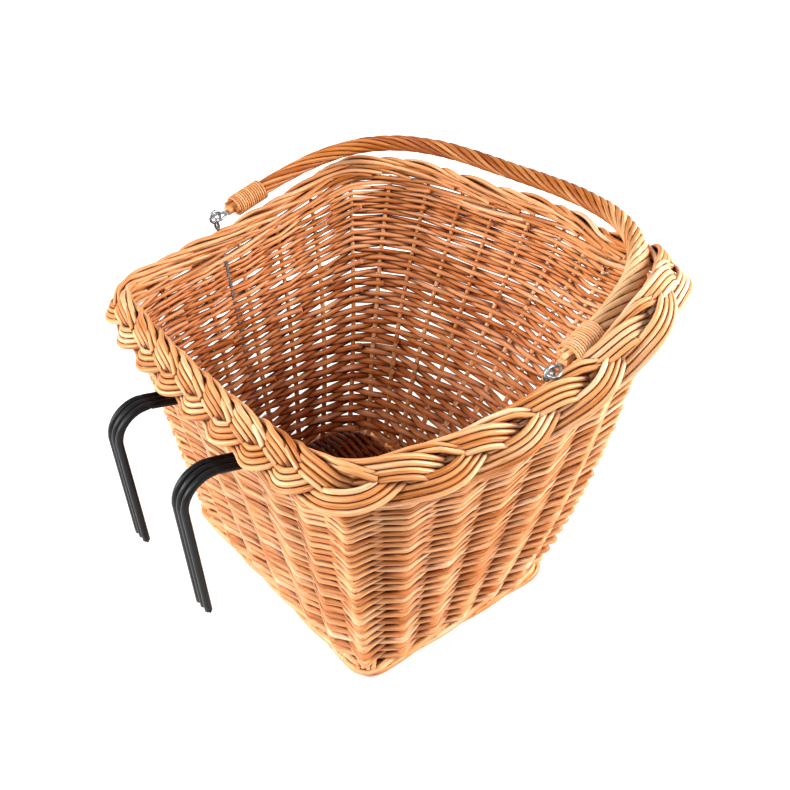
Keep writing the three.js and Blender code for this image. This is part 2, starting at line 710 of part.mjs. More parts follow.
for (const [side, name] of [[-1, "left"], [1, "right"]]) {
  const winding = whippingLine(side);
  add(`whipping_${name}`, rodAlong(winding, WHIPPING_R, SKEIN_SIDES), WILLOW_DARK, swing);
  const gap = selfGap(winding, WHIPPING_STEPS, WHIPPING_R);
  console.log(`whipping_${name}: ${WHIPPING_TURNS} turns, least gap to itself ${gap.toFixed(2)} mm`);
  add(`handle_link_${name}`, rodAlong(linkLine(side), WIRE_R, ROD_SIDES, { lift: UP }), ZINC, swing);
  add(`rim_eye_${name}`, rodAlong(eyeLine(side), WIRE_R, ROD_SIDES), ZINC);
}

export default part;
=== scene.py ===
# A bicycle basket of varnished willow: a woven base and walls, a plaited border, a roped handle
# on wire eyes, and two coated steel hooks for a handlebar. Metres, in the frame of the solids.
import math

import bpy
import numpy as np
from mathutils import Matrix, Vector
from mathutils.bvhtree import BVHTree


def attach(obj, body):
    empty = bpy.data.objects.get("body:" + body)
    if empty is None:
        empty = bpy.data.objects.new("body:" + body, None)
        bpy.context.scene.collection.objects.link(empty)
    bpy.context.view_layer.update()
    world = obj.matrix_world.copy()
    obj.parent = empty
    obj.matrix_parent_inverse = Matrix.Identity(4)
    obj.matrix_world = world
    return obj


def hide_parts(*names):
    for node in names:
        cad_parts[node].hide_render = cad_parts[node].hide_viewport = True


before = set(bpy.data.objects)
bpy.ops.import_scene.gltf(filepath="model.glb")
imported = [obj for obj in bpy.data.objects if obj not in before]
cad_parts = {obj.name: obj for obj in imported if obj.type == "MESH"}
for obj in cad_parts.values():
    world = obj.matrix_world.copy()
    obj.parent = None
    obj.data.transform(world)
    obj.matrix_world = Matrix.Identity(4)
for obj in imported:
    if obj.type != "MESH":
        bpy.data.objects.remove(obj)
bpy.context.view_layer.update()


# Base: seven straight willow sticks from the hook wall to the front, and rows of thinner rods
# woven across them, over one and under the next, and beaten close together.
class Tone:
    """A socket of a node tree. Arithmetic on it adds Math nodes, and node() adds any other."""

    def __init__(self, tree, socket=None):
        self.tree = tree
        self.socket = socket

    def node(self, kind, settings={}, sockets={}, out=None):
        made = self.tree.nodes.new(kind)
        for name, value in settings.items():
            if name == "stops":
                elements = made.color_ramp.elements
                elements[-1].position, elements[-1].color = value[-1][0], (*value[-1][1], 1)
                elements[0].position, elements[0].color = value[0][0], (*value[0][1], 1)
                for place, colour in value[1:-1]:
                    elements.new(place).color = (*colour, 1)
            else:
                setattr(made, name, value)
        for name, value in sockets.items():
            socket = next(s for s in made.inputs if name in (s.identifier, s.name) and s.enabled)
            if isinstance(value, Tone):
                self.tree.links.new(value.socket, socket)
            else:
                socket.default_value = value
        shown = [s for s in made.outputs if s.enabled and out in (s.name, None)]
        return Tone(self.tree, shown[0] if shown else None)

    def also(self, out):
        return Tone(self.tree, self.socket.node.outputs[out])

    def math(self, operation, first, second):
        values = {"Value": first, "Value_001": second}
        return self.node("ShaderNodeMath", {"operation": operation}, values)

    def __add__(self, other):
        return self.math("ADD", self, other)

    def __sub__(self, other):
        return self.math("SUBTRACT", self, other)

    def __mul__(self, other):
        return self.math("MULTIPLY", self, other)

    def __truediv__(self, other):
        return self.math("DIVIDE", self, other)

    def __rsub__(self, other):
        return self.math("SUBTRACT", other, self)

    def __rtruediv__(self, other):
        return self.math("DIVIDE", other, self)

    __radd__ = __add__
    __rmul__ = __mul__


def colour(code):
    """A colour written as on a paint card, as the linear values that a shader takes."""
    shares = [int(code[i:i + 2], 16) / 255 for i in (0, 2, 4)]
    return tuple(((c + 0.055) / 1.055) ** 2.4 if c > 0.04 else c / 12.92 for c in shares)


def willow(name, tones, varnish=0.14):
    """Peeled and varnished willow: fibres run along the rod, and each rod has its own tone. Painted shade
    darkens it between close rods and inside the basket, and painted light and shade from its paths make it
    paler or darker.
    """
    finish = bpy.data.materials.new(name)
    finish.use_nodes = True
    wood = Tone(finish.node_tree)
    rod = wood.node("ShaderNodeAttribute", {"attribute_name": "rod"}, {}, "Fac")
    pale = wood.node("ShaderNodeAttribute", {"attribute_name": "pale"}, {}, "Fac")
    along = wood.node("ShaderNodeAttribute", {"attribute_name": "along"}, {}, "Fac")
    section = wood.node("ShaderNodeAttribute", {"attribute_name": "section"}, {}, "Vector")
    side = wood.node("ShaderNodeSeparateXYZ", {}, {"Vector": section}, "X")
    rise = side.also("Y")

    def drawn(per_metre, round_about, shift):
        sockets = {"X": along * per_metre + rod * shift, "Y": side * round_about, "Z": rise * round_about}
        return wood.node("ShaderNodeCombineXYZ", {}, sockets)

    def cloud(place, detail):
        sockets = {"Vector": place, "Scale": 1.0, "Detail": detail, "Roughness": 0.6}
        return wood.node("ShaderNodeTexNoise", {}, sockets, "Fac")

    slow = cloud(drawn(11, 0.5, 53), 2.0)
    streak = cloud(drawn(34, 2.4, 91), 3.0)
    fibre = cloud(drawn(150, 9.0, 17), 3.0)
    cells = wood.node("ShaderNodeTexVoronoi", {}, {
        "Vector": drawn(45, 0.9, 71), "Scale": 1.0}, "Distance")
    chance = wood.node("ShaderNodeSeparateColor", {}, {"Color": cells.also("Color")}, "Red")
    spot = wood.node("ShaderNodeMapRange", {}, {
        "Value": cells, "From Min": 0.05, "From Max": 0.16, "To Min": 1.0, "To Max": 0.0})
    rare = wood.math("GREATER_THAN", chance, 0.7)
    knot = spot * rare
    # The tone adds painted light and shade noted on the paths, beside each rod's own tone and the grain.
    tone = rod * 0.34 + pale + (slow - 0.5) * 0.85 + (streak - 0.5) * 0.85 + 0.34
    skin = wood.node("ShaderNodeValToRGB", {"stops": tones}, {"Fac": tone}, "Color")
    brown = wood.node("ShaderNodeMix", {"data_type": "RGBA", "blend_type": "MULTIPLY"}, {
        "Factor_Float": knot * 0.75, "A_Color": skin, "B_Color": (0.36, 0.2, 0.12, 1)})
    grain = wood.node("ShaderNodeMix", {"data_type": "RGBA", "blend_type": "MULTIPLY"}, {
        "Factor_Float": (0.62 - fibre) * 1.1, "A_Color": brown, "B_Color": (0.55, 0.38, 0.27, 1)})
    # Painted shade: the willow is darkened towards a deep brown where rods stand close round a point,
    # between and behind rods.
    shelter = wood.node("ShaderNodeAttribute", {"attribute_name": "shelter"}, {}, "Fac")
    crevice_shade_share = wood.node("ShaderNodeMapRange", {}, {
        "Value": shelter, "From Min": 0.2, "From Max": 0.8, "To Min": 0.0, "To Max": 0.96})
    crevice_shaded = wood.node("ShaderNodeMix", {"data_type": "RGBA", "blend_type": "MULTIPLY"}, {
        "Factor_Float": crevice_shade_share, "A_Color": grain, "B_Color": (0.12, 0.04, 0.015, 1)})
    # Painted shade: the willow is darkened and reddened where the basket's walls enclose a point, in the
    # hollow of the basket.
    enclosed = wood.node("ShaderNodeAttribute", {"attribute_name": "enclosed"}, {}, "Fac")
    hollow_shaded = wood.node("ShaderNodeMix", {"data_type": "RGBA", "blend_type": "MULTIPLY"}, {
        "Factor_Float": enclosed, "A_Color": crevice_shaded, "B_Color": (1.0, 0.57, 0.39, 1)})
    height = fibre * 0.5 + streak * 0.6 + knot * 0.9
    bump = wood.node("ShaderNodeBump", {}, {
        "Strength": 0.35, "Distance": 0.0006, "Height": height}, "Normal")
    shader = finish.node_tree.nodes["Principled BSDF"]
    links = finish.node_tree.links
    links.new(hollow_shaded.socket, shader.inputs["Base Color"])
    links.new((fibre * 0.25 + knot * 0.2 + 0.28).socket, shader.inputs["Roughness"])
    links.new(bump.socket, shader.inputs["Normal"])
    shader.inputs["Specular IOR Level"].default_value = 0.14
    shader.inputs["Coat Weight"].default_value = varnish
    shader.inputs["Coat Roughness"].default_value = 0.22
    return finish


def rod_tree():
    """Round rods along their paths: thickness and tone come from the paths' own points."""
    tree = bpy.data.node_groups.new("rods along their paths", "GeometryNodeTree")
    inputs = (
        ("Paths", "Geometry"), ("Rod radius", "Float"), ("Sides", "Int"), ("Path steps", "Int"),
        ("Wobble", "Float"), ("Wobble length", "Float"), ("Seed", "Int"), ("Finish", "Material"))
    for name, kind in inputs:
        tree.interface.new_socket(name, in_out="INPUT", socket_type="NodeSocket" + kind)
    tree.interface.new_socket("Rods", in_out="OUTPUT", socket_type="NodeSocketGeometry")
    start = Tone(tree)
    paths = start.node("NodeGroupInput")
    curve = start.node("GeometryNodeMeshToCurve", {}, {"Mesh": paths})
    curve = start.node("GeometryNodeCurveSplineType", {"spline_type": "CATMULL_ROM"}, {"Curve": curve})
    curve = start.node("GeometryNodeSetSplineResolution", {}, {
        "Geometry": curve, "Resolution": paths.also("Path steps")})
    drift = start.node("ShaderNodeTexNoise", {"noise_dimensions": "4D"}, {
        "W": paths.also("Seed"), "Scale": 1 / paths.also("Wobble length"), "Detail": 1.0}, "Color")
    drift = start.node("ShaderNodeVectorMath", {"operation": "SUBTRACT"}, {
        "Vector": drift, "Vector_001": (0.5, 0.5, 0.5)})
    drift = start.node("ShaderNodeVectorMath", {"operation": "SCALE"}, {
        "Vector": drift, "Scale": paths.also("Wobble") * 2})
    curve = start.node("GeometryNodeSetPosition", {}, {"Geometry": curve, "Offset": drift})
    length = start.node("GeometryNodeSplineParameter", {}, {}, "Length")
    curve = start.node("GeometryNodeStoreNamedAttribute", {"data_type": "FLOAT"}, {
        "Geometry": curve, "Name": "along", "Value": length})
    ring = start.node("GeometryNodeCurvePrimitiveCircle", {}, {
        "Resolution": paths.also("Sides"), "Radius": paths.also("Rod radius")})
    around = start.node("ShaderNodeVectorMath", {"operation": "NORMALIZE"}, {
        "Vector": start.node("GeometryNodeInputPosition")})
    ring = start.node("GeometryNodeStoreNamedAttribute", {"data_type": "FLOAT_VECTOR"}, {
        "Geometry": ring, "Name": "section", "Value": around})
    girth = start.node("GeometryNodeInputNamedAttribute", {"data_type": "FLOAT"}, {"Name": "girth"})
    mesh = start.node("GeometryNodeCurveToMesh", {}, {
        "Curve": curve, "Profile Curve": ring, "Scale": girth, "Fill Caps": True})
    mesh = start.node("GeometryNodeSetShadeSmooth", {}, {"Geometry": mesh})
    mesh = start.node("GeometryNodeRealizeInstances", {}, {"Geometry": mesh})
    mesh = start.node("GeometryNodeSetMaterial", {}, {
        "Geometry": mesh, "Material": paths.also("Finish")})
    start.node("NodeGroupOutput", {}, {"Rods": mesh})
    return tree


ROD_TREE = rod_tree()


def note_shelter(mesh, near=0.012, far=0.45, tilt=math.radians(52), around=6, skin=0.0002, clear=0.03):
    """Notes at each point how closely rods stand round it, and how far walls do: the willow paints shade
    from both.
    """
    count = len(mesh.vertices)
    places, normals = np.empty(count * 3), np.empty(count * 3)
    mesh.vertices.foreach_get("co", places)
    mesh.vertices.foreach_get("normal", normals)
    places, normals = places.reshape(-1, 3), normals.reshape(-1, 3)
    tree = BVHTree.FromPolygons(places.tolist(), [tuple(face.vertices) for face in mesh.polygons])
    side = np.cross(normals, np.where(np.abs(normals[:, 2:]) < 0.8, (0, 0, 1), (1, 0, 0)))
    side /= np.linalg.norm(side, axis=1)[:, None]
    other = np.cross(normals, side)
    shelter, enclosed = np.zeros(count), np.zeros(count)
    for angle in np.linspace(0, 2 * math.pi, around, endpoint=False):
        ways = side * math.cos(angle) + other * math.sin(angle)
        ways = normals * math.cos(tilt) + ways * math.sin(tilt)
        close = zip((places + normals * skin).tolist(), ways.tolist())
        shelter += [tree.ray_cast(start, way, near)[0] is not None for start, way in close]
        across = zip((places + ways * clear).tolist(), ways.tolist())
        enclosed += [tree.ray_cast(start, way, far)[0] is not None for start, way in across]
    for name, noted in (("shelter", shelter), ("enclosed", enclosed)):
        mesh.attributes.new(name, "FLOAT", "POINT").data.foreach_set("value", noted / around)


BASE_BEHIND = 43.7


def from_base(points):
    """Millimetres from the middle of the base, as metres in the part's frame."""
    return (np.asarray(points, float) + (0, -BASE_BEHIND, 0)) / 1000


# Painted light: a paler patch painted on the willow round the rim's far right corner, where the light
# falls strongest.
LIT_CORNER, LIT_CORNER_REACH, LIT_CORNER_LIGHT = (180, 140, 280), 115, 0.19


def painted_light_near_corner(line):
    """Painted light: how much paler the willow is painted towards one far corner of the rim, where the
    light falls strongest.
    """
    away = np.linalg.norm(np.asarray(line) - LIT_CORNER, axis=1)
    return LIT_CORNER_LIGHT * np.exp(-(away / LIT_CORNER_REACH) ** 2)


def rods(name, paths, radius, finish, sides=10, steps=3, wobble=0.0, wobble_length=60, pale=0.0):
    """One mesh of round rods. A path is its points in mm, its girth, its tone, and whether it closes."""
    points, edges, girths, tones, painted_lights = [], [], [], [], []
    for line, girth, tone, closed in paths:
        first, count = len(points), len(line)
        points.extend(from_base(line).tolist())
        edges.extend((first + i, first + i + 1) for i in range(count - 1))
        if closed:
            edges.append((first + count - 1, first))
        girths.extend(np.broadcast_to(girth, count).tolist())
        tones.extend([tone] * count)
        # Painted light and shade: a path can be painted paler or darker along its length, and paler near
        # one corner of the rim.
        places, given = np.linspace(0, 1, count), np.linspace(0, 1, np.size(pale))
        painted_lights.extend(np.interp(places, given, np.ravel(pale)) + painted_light_near_corner(line))
    lines = bpy.data.meshes.new(name + " paths")
    lines.from_pydata(points, edges, [])
    lines.attributes.new("girth", "FLOAT", "POINT").data.foreach_set("value", girths)
    lines.attributes.new("rod", "FLOAT", "POINT").data.foreach_set("value", tones)
    lines.attributes.new("pale", "FLOAT", "POINT").data.foreach_set("value", painted_lights)
    carrier = bpy.data.objects.new(name + " paths", lines)
    bpy.context.scene.collection.objects.link(carrier)
    modifier = carrier.modifiers.new("rods", "NODES")
    modifier.node_group = ROD_TREE
    values = {
        "Rod radius": radius / 1000, "Sides": sides, "Path steps": steps, "Wobble": wobble / 1000,
        "Wobble length": wobble_length / 1000, "Seed": 1, "Finish": finish}
    for item in ROD_TREE.interface.items_tree:
        if item.in_out == "INPUT" and item.name in values:
            modifier[item.identifier] = values[item.name]
    graph = bpy.context.evaluated_depsgraph_get()
    mesh = bpy.data.meshes.new_from_object(carrier.evaluated_get(graph))
    mesh.set_sharp_from_angle(angle=math.radians(60))
    note_shelter(mesh)
    made = bpy.data.objects.new(name, mesh)
    bpy.context.scene.collection.objects.link(made)
    bpy.data.objects.remove(carrier)
    bpy.data.meshes.remove(lines)
    return made


honey_willow = willow("honey willow", [
    (0.0, colour("70300f")), (0.3, colour("b56a2d")), (0.6, colour("dea06a")), (1.0, colour("f8d7b5"))])
# Painted shade: the base's willow is a darker ramp of the same willow, for the shade that falls on the
# base inside the basket.
shaded_base_willow = willow("shaded base willow", [
    (0.0, colour("421605")), (0.3, colour("6c2a0b")), (0.6, colour("8e4517")), (1.0, colour("b0642b"))])
# Painted shade: the roping's willow is a darker ramp of the same willow, for the shade over the handle.
shaded_roped_willow = willow("shaded roped willow", [
    (0.0, colour("602407")), (0.3, colour("984c17")), (0.6, colour("b87236")), (1.0, colour("ecbf8e"))])
base_chance = np.random.default_rng(3)
BASE_BACK, BASE_FRONT, BASE_DEPTH, BASE_ROUND = 126, 136, 91.5, 66
BASE_LEVEL = 8.2
STICKS, STICK_PITCH, STICK_RADIUS, STICK_REACH = 7, 34, 2.8, BASE_DEPTH - 4
BASE_ROD_RADIUS, ROW_FIRST, ROW_LAST, ROW_PITCH, ROW_SHORT = 2.5, -82, 86, 3.65, 2.5
ROW_LIFT = (STICK_RADIUS + BASE_ROD_RADIUS) * 0.66
stick_places = [(i - (STICKS - 1) / 2) * STICK_PITCH for i in range(STICKS)]
base_paths = []
for x in stick_places:
    line = [(x, y, BASE_LEVEL) for y in np.linspace(-STICK_REACH, STICK_REACH, 6)]
    base_paths.append((line, STICK_RADIUS / BASE_ROD_RADIUS, base_chance.random(), False))
for row, y in enumerate(np.arange(ROW_FIRST, ROW_LAST, ROW_PITCH)):
    right_end = BASE_BACK + (BASE_FRONT - BASE_BACK) * (y + BASE_DEPTH) / (2 * BASE_DEPTH) - ROW_SHORT
    rounded_off = BASE_ROUND * (1 - math.sqrt(min(1, (BASE_DEPTH - y) / BASE_ROUND))) ** 2
    left_end = rounded_off - right_end
    line = [(left_end, y, BASE_LEVEL)]
    for i, x in enumerate(stick_places):
        if x > left_end + 2:
            line.append((x, y, BASE_LEVEL + ROW_LIFT * (-1) ** (row + i)))
    line.append((right_end, y, BASE_LEVEL))
    base_paths.append((line, base_chance.uniform(0.9, 1.08), base_chance.random(), False))
base = rods("woven_base", base_paths, BASE_ROD_RADIUS, shaded_base_willow, sides=8, steps=6, wobble=0.4)
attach(base, "basket")
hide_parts("base_weaver", *[f"base_stick_{i}" for i in range(1, 8)])


# Foot roll: three stout rods laid round each other along the base edge. The basket stands on it.
# At the front corner of the hook wall the cut butts of four thin rods show above it.
def around_line(line, count, reach, turn, closed=False):
    """Paths that wind round a line: turn gives the angle at each of its points, in radians."""
    line = np.asarray(line, float)
    ahead = np.roll(line, -1, 0) - np.roll(line, 1, 0)
    if not closed:
        ahead[0], ahead[-1] = line[1] - line[0], line[-1] - line[-2]
    ahead /= np.linalg.norm(ahead, axis=1)[:, None]
    side = np.cross(ahead, (0, 0, 1))
    side /= np.linalg.norm(side, axis=1)[:, None]
    rise = np.cross(side, ahead)
    reach = np.broadcast_to(reach, len(line))[:, None]
    wound = []
    for i in range(count):
        angle = (turn + 2 * math.pi * i / count)[:, None]
        wound.append(line + reach * (side * np.cos(angle) + rise * np.sin(angle)))
    return wound


def runs(line):
    """The way along a line to each of its points."""
    return np.concatenate([[0], np.cumsum(np.linalg.norm(np.diff(line, axis=0), axis=1))])


def evenly(line, step):
    """A line's points again, a step apart."""
    line = np.asarray(line, float)
    way = runs(line)
    places = np.linspace(0, way[-1], max(2, round(way[-1] / step)))
    return np.stack([np.interp(places, way, line[:, i]) for i in range(3)], 1)


foot_chance = np.random.default_rng(5)
FOOT_ROD_RADIUS, FOOT_LEVEL, FOOT_OUT, FOOT_TURNS = 3.0, 5.4, 2.5, 6
CORNER_REACHES, CORNER_POINTS = (17, 22, BASE_ROUND, 17), 9
BUTTS, BUTT_PITCH, BUTT_GIRTH, BUTT_LENGTH = 4, 4.2, 0.62, 16
base_corners = [
    (BASE_BACK, -BASE_DEPTH), (BASE_FRONT, BASE_DEPTH),
    (-BASE_FRONT, BASE_DEPTH), (-BASE_BACK, -BASE_DEPTH)]


def base_edge(outside):
    """The base's edge with its rounded corners, at a distance outside the outermost sticks."""
    edge = []
    for i, reach in enumerate(CORNER_REACHES):
        corner = np.array(base_corners[i]) + outside * np.sign(base_corners[i])
        before = np.array(base_corners[i - 1]) - corner
        after = np.array(base_corners[(i + 1) % len(base_corners)]) - corner
        before *= reach / np.linalg.norm(before)
        after *= reach / np.linalg.norm(after)
        for t in np.linspace(0, 1, CORNER_POINTS):
            edge.append((*(corner + before * (1 - t) ** 2 + after * t ** 2), FOOT_LEVEL))
    return edge


foot_line = base_edge(FOOT_OUT)
foot_line = evenly([*foot_line, foot_line[0]], 8)[:-1]
foot_turn = 2 * math.pi * FOOT_TURNS * np.arange(len(foot_line)) / len(foot_line)
foot_paths = [
    (path, 1.0, foot_chance.random(), True)
    for path in around_line(foot_line, 3, FOOT_LEVEL - FOOT_ROD_RADIUS, foot_turn, closed=True)]
corner_out = np.array((0.7, -0.7, 0))
corner_side = np.array((0.7, 0.7, 0))
for k in range(BUTTS):
    butt = np.array((*base_corners[0], 2 * FOOT_LEVEL + foot_chance.uniform(0.5, 3.5)))
    butt += corner_side * (k - (BUTTS - 1) / 2) * BUTT_PITCH
    tip = butt + corner_out * foot_chance.uniform(0.5, 4) + (0, 0, foot_chance.uniform(-1, 2))
    line = [butt - corner_out * BUTT_LENGTH, tip]
    foot_paths.append((line, BUTT_GIRTH, foot_chance.uniform(0.6, 1), False))
foot = rods("foot_roll_rods", foot_paths, FOOT_ROD_RADIUS, honey_willow, wobble=0.3)
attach(foot, "basket")
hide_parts("foot_roll")


# Stakes: the upright rods that the walls are woven on. They rise from the base edge and lean out
# to the rim, where the border holds them.
RIM_LEVEL = 250
RIM_RIGHT = [
    (80, -118, 0), (147, -107, 5), (163, -76, 3), (175, 0, -2),
    (185, 90, 19), (180, 146, 44), (143, 199, 29), (75, 224, 6)]
RIM_LEFT = [
    (-75, 224, -3), (-143, 199, 3), (-180, 146, 12), (-185, 90, 2),
    (-175, 0, -4), (-163, -76, -3), (-147, -107, 1), (-80, -118, 0)]
rim_knots = np.array([(0, -121, 0), *RIM_RIGHT, (0, 241, -4), *RIM_LEFT], float)
rim_knots[:, 2] += RIM_LEVEL
RIM_SHARES, CORNER_KNOTS = 40, (2, 6, 12, 16)


def rim_piece(i):
    """One stretch of the rim's smooth line, from a knot to the next."""
    a, b, c, d = (rim_knots[(i + k) % len(rim_knots)] for k in (-1, 0, 1, 2))
    gaps = [np.linalg.norm(q - p) ** 0.5 for p, q in ((a, b), (b, c), (c, d))]
    out = ((b - a) / gaps[0] - (c - a) / (gaps[0] + gaps[1]) + (c - b) / gaps[1]) * gaps[1]
    into = ((c - b) / gaps[1] - (d - b) / (gaps[1] + gaps[2]) + (d - c) / gaps[2]) * gaps[1]
    t = np.linspace(0, 1, RIM_SHARES, endpoint=False)[:, None]
    return b + out * t + (3 * (c - b) - 2 * out - into) * t ** 2 + (2 * (b - c) + out + into) * t ** 3


rim_line = np.concatenate([rim_piece(i) for i in range(len(rim_knots))])
rim_line = np.vstack([rim_line, rim_line[:1]])
rim_runs = runs(rim_line)


def rim_at(share):
    """The rim's inner top edge at shares of its length, from the middle of the hook wall."""
    way = np.mod(share, 1) * rim_runs[-1]
    return np.stack([np.interp(way, rim_runs, rim_line[:, i]) for i in range(3)], -1)


def rim_out(share):
    """The level direction out of the basket at shares of the rim."""
    ahead = rim_at(np.asarray(share) + 0.002) - rim_at(np.asarray(share) - 0.002)
    out = np.stack([ahead[..., 1], -ahead[..., 0], 0 * ahead[..., 0]], -1)
    return out / np.linalg.norm(out, axis=-1, keepdims=True)


stake_chance = np.random.default_rng(11)
STAKE_RADIUS, STAKE_FOOT, STAKE_HEAD = 2.5, 12.1, 221.2
STAKE_THICK, STAKE_THIN, STAKE_POINTS = 1.06, 0.78, 7
STAKE_SWELL, STAKE_DRAW = 9, -20
BOW_ACROSS, BOW_ACROSS_REACH, BOW_AHEAD, BOW_AHEAD_REACH = 60, 110, 15, 120
HOOK_WALL_HALF, HOOK_WALL_STAKES, OTHER_WALL_STAKES = 147, (-112, -74, -24, 24, 74, 112), (6, 12, 6)
corner_runs = [rim_runs[k * RIM_SHARES] / rim_runs[-1] for k in CORNER_KNOTS]
rim_corners = [corner_runs[3] - 1, *corner_runs]
stake_edge = np.array(base_edge(0))
wall_feet = []
for wall in range(4):
    first = CORNER_POINTS * (wall - 1) + CORNER_POINTS // 2
    wall_feet.append(stake_edge[np.arange(first, first + CORNER_POINTS + 1) % len(stake_edge)])


def wall_line(wall, share):
    """A wall's line from base to rim, at a share of the wall's length."""
    way = runs(wall_feet[wall])
    foot_end = [np.interp(share * way[-1], way, wall_feet[wall][:, i]) for i in (0, 1)]
    head_end = rim_at(rim_corners[wall] * (1 - share) + rim_corners[wall + 1] * share)
    return np.array([*foot_end, STAKE_FOOT]), head_end + (0, 0, STAKE_HEAD - RIM_LEVEL)


wall_shares = [[0, *(0.5 + x / (2 * HOOK_WALL_HALF) for x in HOOK_WALL_STAKES)]]
wall_shares += [[i / count for i in range(count)] for count in OTHER_WALL_STAKES]
stakes = [wall_line(wall, share) for wall in range(4) for share in wall_shares[wall]]
STAKES = len(stakes)
stake_outs = []
for i in range(STAKES):
    before, after = stakes[i - 1], stakes[(i + 1) % STAKES]
    out = np.cross(sum(after) - sum(before), stakes[i][1] - stakes[i][0])
    stake_outs.append(out / np.linalg.norm(out))


def along_stake(i, share):
    """A place on a stake. The stakes bow out towards one far corner, and in towards the other."""
    low, high = stakes[i]
    swell = STAKE_SWELL if high[0] > 0 else STAKE_DRAW
    swell = swell * np.clip((abs(high[0]) - BOW_ACROSS) / BOW_ACROSS_REACH, 0, 1)
    swell = swell * np.clip((high[1] - BOW_AHEAD) / BOW_AHEAD_REACH, 0, 1)
    share = np.asarray(share, float)[..., None]
    return low + (high - low) * share + stake_outs[i] * swell * 4 * share * (1 - share)


stake_paths = []
for i in range(STAKES):
    line = along_stake(i, np.linspace(-0.03, 1.045, STAKE_POINTS))
    line = line + stake_chance.normal(0, 0.35, line.shape)
    girth = np.linspace(STAKE_THICK, STAKE_THIN, STAKE_POINTS)
    stake_paths.append((line, girth, stake_chance.random(), False))
upright = rods("wall_stakes", stake_paths, STAKE_RADIUS, honey_willow, steps=4)
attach(upright, "basket")
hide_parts(*[f"stake_{i:02d}" for i in range(1, 28)])


# Siding: long willow rods randed round the stakes, in front of one and behind the next. Each rod
# starts with its butt inside the wall where the last one ends, and thins towards its tip.
siding_chance = np.random.default_rng(23)
WEAVER_LOW, WEAVER_HIGH, ROUNDS, SIDING_HIGH, CLOSING = 3.3, 1.75, 58, 1.02, 0.42
HOOK_LEVEL, HOOK_PART, HOOK_PART_REACH = 199.8, 5.0, 30
SHORTEST_RUN, LONGEST_RUN, LAST_RUN = 24, 34, 12
BUTT_INWARD, NEXT_INWARD = 4.5, 2
PASSES = ROUNDS * STAKES
risen = np.arange(PASSES) / (PASSES - 1)
heights = SIDING_HIGH * (risen * (1 + CLOSING) - CLOSING * risen ** 2)
passes = []
for step in range(PASSES):
    weaver = WEAVER_LOW + (WEAVER_HIGH - WEAVER_LOW) * step / PASSES
    stake = STAKE_RADIUS * (STAKE_THICK + (STAKE_THIN - STAKE_THICK) * step / PASSES)
    reach = (stake + weaver) * siding_chance.uniform(0.92, 1.04)
    place = along_stake(step % STAKES, heights[step] + siding_chance.normal(0, 0.0028))
    place = place + stake_outs[step % STAKES] * reach * (-1) ** (step % 2)
    off = place[2] - HOOK_LEVEL
    if 2 <= step % STAKES <= 5 and abs(off) < HOOK_PART_REACH:
        place[2] += math.copysign(HOOK_PART * (1 - abs(off) / HOOK_PART_REACH), off)
    passes.append(place)
siding_paths = []
start = 0
while start < PASSES - 1:
    end = start + int(siding_chance.integers(SHORTEST_RUN, LONGEST_RUN))
    end += 1 - end % 2
    end = end if PASSES - end > LAST_RUN else PASSES - 1
    line = [passes[start]]
    for step in range(start, end):
        run = passes[step + 1] - passes[step]
        line += [passes[step] + run * 0.2, passes[step] + run * 0.8, passes[step + 1]]
    inward = -stake_outs[start % STAKES]
    if start:
        line[0] = line[0] - (line[1] - line[0]) + inward * BUTT_INWARD
        line[1] = passes[start] + inward * NEXT_INWARD
    thick = 1 + (WEAVER_HIGH / WEAVER_LOW - 1) * start / PASSES
    butt_girth = siding_chance.uniform(1.0, 1.09)
    tip_girth = siding_chance.uniform(0.88, 0.97)
    girth = thick * np.linspace(butt_girth, tip_girth, len(line))
    siding_paths.append((line, girth, siding_chance.random(), False))
    start = end
siding = rods("siding_weavers", siding_paths, WEAVER_LOW, honey_willow, sides=8, steps=2, wobble=0.35)
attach(siding, "basket")
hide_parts(*[f"siding_weaver_{i}" for i in range(1, 6)])


# Wale: rods twined tight round the tops of the stakes, just under the border. They lock the
# siding, and stand close enough that no light comes between them.
wale_chance = np.random.default_rng(31)
WALE_ROD_RADIUS, WALE_RODS, WALE_PITCH, WALE_TOP = 2.15, 6, 3.6, 6.5
WALE_POINTS, WALE_WAVES, WALE_OUT, WALE_SWAY, WALE_DIP = 162, 9, 0.2, 2.4, 0.8
share = np.arange(0, 1, 1 / WALE_POINTS)
wale_paths = []
for k in range(WALE_RODS):
    wave = 2 * math.pi * (WALE_WAVES * share + k / 3)
    line = rim_at(share) + rim_out(share) * (WALE_OUT + WALE_SWAY * np.sin(wave))[:, None]
    line[:, 2] -= WALE_TOP + WALE_PITCH * k + WALE_DIP * np.cos(wave)
    wale_paths.append((line, wale_chance.uniform(0.92, 1.06), wale_chance.random(), True))
wale = rods("rim_wale_rods", wale_paths, WALE_ROD_RADIUS, honey_willow, steps=2, wobble=0.3)
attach(wale, "basket")
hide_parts("rim_wale")


